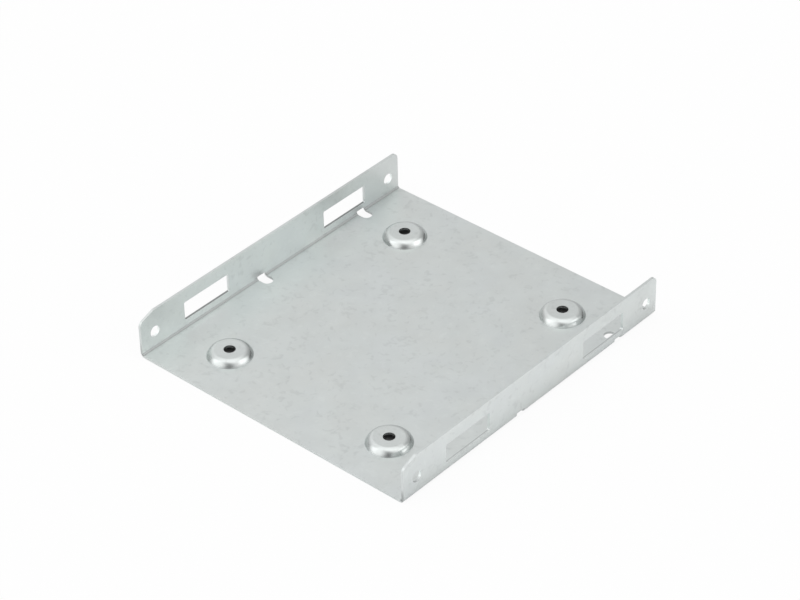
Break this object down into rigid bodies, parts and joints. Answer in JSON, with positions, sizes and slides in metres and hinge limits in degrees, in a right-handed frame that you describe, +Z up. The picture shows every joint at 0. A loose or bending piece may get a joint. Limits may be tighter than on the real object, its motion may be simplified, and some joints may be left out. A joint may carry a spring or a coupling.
{
  "type": "drive bay adapter bracket",
  "caption": "Folded sheet-steel tray with upright side flanges and raised screw bosses, which carries a small drive in the place of a larger one.",
  "frame": {"origin": "middle of the flat underside", "axes": "+X across the bay, +Y from the tapered front end to the rear end, +Z up, the way the flanges and bosses stand"},
  "size_m": [0.1016, 0.1118, 0.0139],
  "materials": {
    "galvanised_steel": "satin zinc coat with a faint mottle"
  },
  "bodies": {
    "root": {"bracket": "galvanised_steel"}
  },
  "joints": []
}
